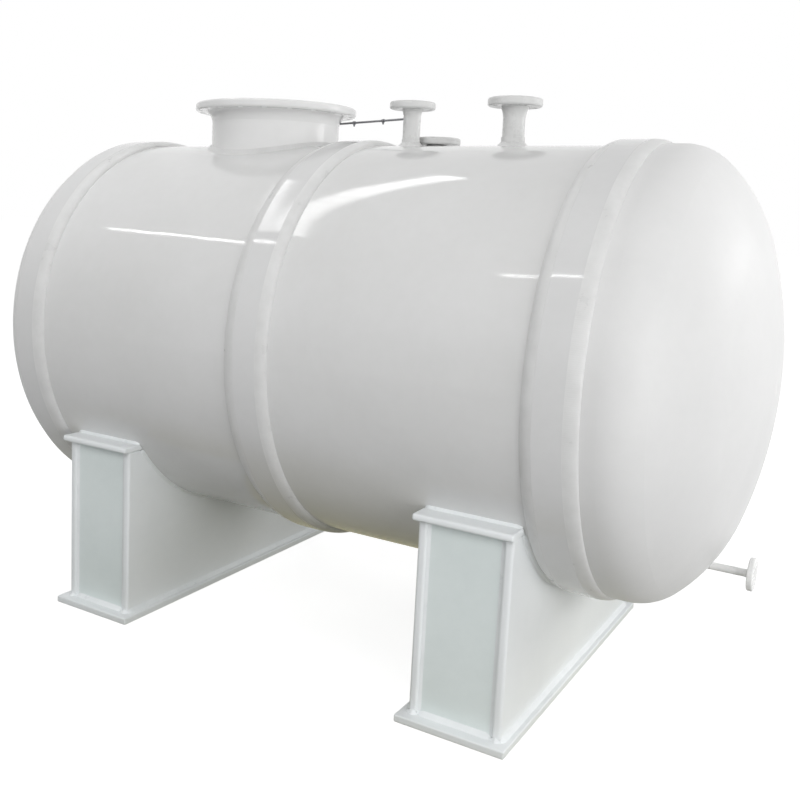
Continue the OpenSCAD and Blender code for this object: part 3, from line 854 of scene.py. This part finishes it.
def stage_floor():
    """A white floor that keeps a soft shadow, with a light and a look of its own for other rays."""
    size = FLOOR_HALF
    corners = [(-size, -size, 0), (size, -size, 0), (size, size, 0), (-size, size, 0)]
    floor = linked("floor", new_mesh("floor", corners, [(0, 1, 2, 3)]))
    material = bpy.data.materials.new("floor_paint")
    floor.data.materials.append(material)
    tree, out = emptied(material, "ShaderNodeOutputMaterial")
    place = add(tree, "NewGeometry").outputs["Position"]
    far = add(tree, "VectorMath", operation="LENGTH")
    tree.links.new(place, far.inputs[0])
    where = add(tree, "SeparateXYZ")
    tree.links.new(place, where.inputs[0])
    beside = maths(tree, "ABSOLUTE", where.outputs["Y"])

    def away(centre, ease):
        """How far a place is from the line under the tank, or from its centre along it, as 0 to 1."""
        along = maths(tree, "MULTIPLY_ADD", where.outputs["X"], ease, -centre * ease)
        most = maths(tree, "MAXIMUM", beside, maths(tree, "ABSOLUTE", along))
        return span(tree, most, 0.0, 1.0, 0.0, FLOOR_SPAN)

    paint = add(tree, "BsdfDiffuse", Color=FLOOR_GREY)
    glow = add(tree, "Emission", Color=WHITE)
    strength = span(tree, far.outputs["Value"], GLOW_NEAR, GLOW_FAR, GLOW_FROM, GLOW_TO)
    tree.links.new(strength, glow.inputs["Strength"])
    shown = add(tree, "AddShader")
    tree.links.new(paint.outputs[0], shown.inputs[0])
    tree.links.new(glow.outputs[0], shown.inputs[1])
    bounce = add(tree, "BsdfDiffuse")
    tone = ramp(tree, away(BOUNCE_MIDDLE, BOUNCE_EASE), BOUNCE_STOPS)
    tree.links.new(tone, bounce.inputs["Color"])
    mirrored = add(tree, "Emission")
    image = ramp(tree, away(MIRROR_MIDDLE, MIRROR_EASE), MIRROR_STOPS)
    tree.links.new(image, mirrored.inputs["Color"])
    rays = add(tree, "LightPath").outputs
    below = bounce
    for ray, shader in (("Is Glossy Ray", mirrored), ("Is Camera Ray", shown)):
        mix = add(tree, "MixShader")
        tree.links.new(rays[ray], mix.inputs[0])
        tree.links.new(below.outputs[0], mix.inputs[1])
        tree.links.new(shader.outputs[0], mix.inputs[2])
        below = mix
    tree.links.new(below.outputs[0], out.inputs[0])


def sky(ambient):
    """White where it is seen, directly or in the gloss, and a plain level of ambient light."""
    world = bpy.data.worlds.new("studio")
    bpy.context.scene.world = world
    tree, out = emptied(world, "ShaderNodeOutputWorld")
    rays = add(tree, "LightPath").outputs
    seen = maths(tree, "MAXIMUM", rays["Is Camera Ray"], rays["Is Glossy Ray"])
    seen = maths(tree, "MAXIMUM", seen, rays["Is Transmission Ray"])
    back = add(tree, "Background", Color=WHITE)
    tree.links.new(span(tree, seen, ambient, 1.0, 0.0, 1.0), back.inputs["Strength"])
    tree.links.new(back.outputs[0], out.inputs[0])


def area(name, place, size, watts):
    """A rectangular lamp that the camera doesn't see."""
    data = bpy.data.lights.new(name, "AREA")
    data.shape = "RECTANGLE"
    data.size, data.size_y = size
    data.energy = watts
    obj = linked(name, data)
    obj.location = place
    obj.visible_camera = False
    return obj


def lamp(name, place, target, size, watts):
    """A lamp that looks at target and has no reflection."""
    obj = area(name, place, size, watts)
    obj.rotation_mode = "QUATERNION"
    obj.rotation_quaternion = (Vector(target) - Vector(place)).to_track_quat("-Z", "Y")
    obj.visible_glossy = False
    return obj


def strip(name, start, end, width, radiance):
    """A lamp that fills the strip from start to end, shines down and is seen in reflections."""
    a, b = Vector(start), Vector(end)
    length = (b - a).length
    obj = area(name, (a + b) / 2, (length, width), radiance * math.pi * length * width)
    obj.rotation_euler = (0, 0, math.atan2(b.y - a.y, b.x - a.x))


def window(name, start, end, bow, width, panes, radiance):
    """A row of roof panes along a slightly bowed line."""
    a, b = Vector(start), Vector(end)
    aside = Vector((a.y - b.y, b.x - a.x)).normalized()
    points = []
    for k in range(panes + 1):
        t = k / panes
        points.append(a.lerp(b, t) + aside * bow * 4 * t * (1 - t))
    for k, (c, d) in enumerate(zip(points, points[1:])):
        pane_from, pane_to = c.lerp(d, PANE_GAP), c.lerp(d, 1 - PANE_GAP)
        strip("%s_%d" % (name, k), (*pane_from, WINDOW_Z), (*pane_to, WINDOW_Z), width, radiance)


stage_floor()
sky(ambient=0.03)

# name, place, what it looks at, size and watts
LAMPS = (
    ("end_low", (5.3, -2.6, 1.6), (0.3, 0, 0.9), (4.0, 3.0), 153.0),
    ("end_high", (4.6, 4.0, 3.0), (0.3, 0, 1.2), (4.0, 3.5), 198.0),
    ("side_left", (-1.8, -6.0, 4.4), (-0.2, 0, 0.8), (5.0, 3.5), 127.0),
    ("side_right", (3.0, -5.6, 4.4), (0.2, 0, 0.9), (4.5, 3.5), 89.0),
    ("above", (-0.4, -0.8, 5.8), (0, 0, 1.2), (4.5, 4.5), 66.0),
    ("front_low", (-3.2, -4.2, 0.9), (-1.0, -0.5, 0.4), (2.0, 1.2), 6.0),
    ("fill_back", (-4.6, 4.2, 3.0), (-0.2, 0, 1.0), (4.0, 3.0), 80.0),
)
for row in LAMPS:
    lamp(*row)
# it only shows in gloss: a bright line on the manway's neck and a soft streak on the right head
door = lamp("door", (3.75, 2.73, 2.32), (-0.4, -0.05, 1.87), (1.4, 0.45), 4.3)
door.visible_glossy = True
door.visible_diffuse = False

# the thin bright lines on the shell
TUBE_WIDTH, TUBE_RADIANCE = 0.05, 24.0
strip("tube_left", (-3.75, -1.97, 4.0), (-2.19, -2.29, 4.0), TUBE_WIDTH, TUBE_RADIANCE)
strip("tube_right", (-0.71, -2.90, 4.0), (-0.06, -2.84, 4.0), TUBE_WIDTH, TUBE_RADIANCE)

WINDOW_Z = 5.0
WINDOW_RADIANCE = 5.4
PANE_GAP = 0.04  # at each end of a pane, as a share of its length
window("window_wide", (-2.75, -2.32), (-1.29, 1.13), 0.13, 0.28, 12, WINDOW_RADIANCE)
window("window_narrow", (-3.05, -2.30), (-2.60, 0.38), -0.15, 0.17, 9, WINDOW_RADIANCE)

# ---------------------------------------------------------------- camera
# fitted to the photograph, whose side is IMAGE pixels
IMAGE = 800.0
FOCAL_PX = 969.04
CENTRE_PX = (320.0, 351.5)
PLACE = (1.73291, -3.18654, 1.54275)
YAW, PITCH, ROLL = 0.5686, -0.1432, 0.0404

cam_data = bpy.data.cameras.new("camera")
cam_data.sensor_width = 36.0
cam_data.lens = FOCAL_PX / IMAGE * cam_data.sensor_width
cam_data.shift_x = (IMAGE / 2 - CENTRE_PX[0]) / IMAGE
cam_data.shift_y = (CENTRE_PX[1] - IMAGE / 2) / IMAGE
cam_data.clip_start, cam_data.clip_end = 0.05, 200.0
ahead = Vector((-math.sin(YAW) * math.cos(PITCH), math.cos(YAW) * math.cos(PITCH), math.sin(PITCH)))
right = Vector((math.cos(YAW), math.sin(YAW), 0))
up = right.cross(ahead)
right, up = (
    right * math.cos(ROLL) + up * math.sin(ROLL),
    up * math.cos(ROLL) - right * math.sin(ROLL),
)
cam = linked("camera", cam_data)
view = Matrix((right, up, -ahead)).transposed().to_4x4()
cam.matrix_world = Matrix.Translation(PLACE) @ view
bpy.context.scene.camera = cam
bpy.context.scene.view_settings.view_transform = "Standard"

bpy.context.view_layer.update()
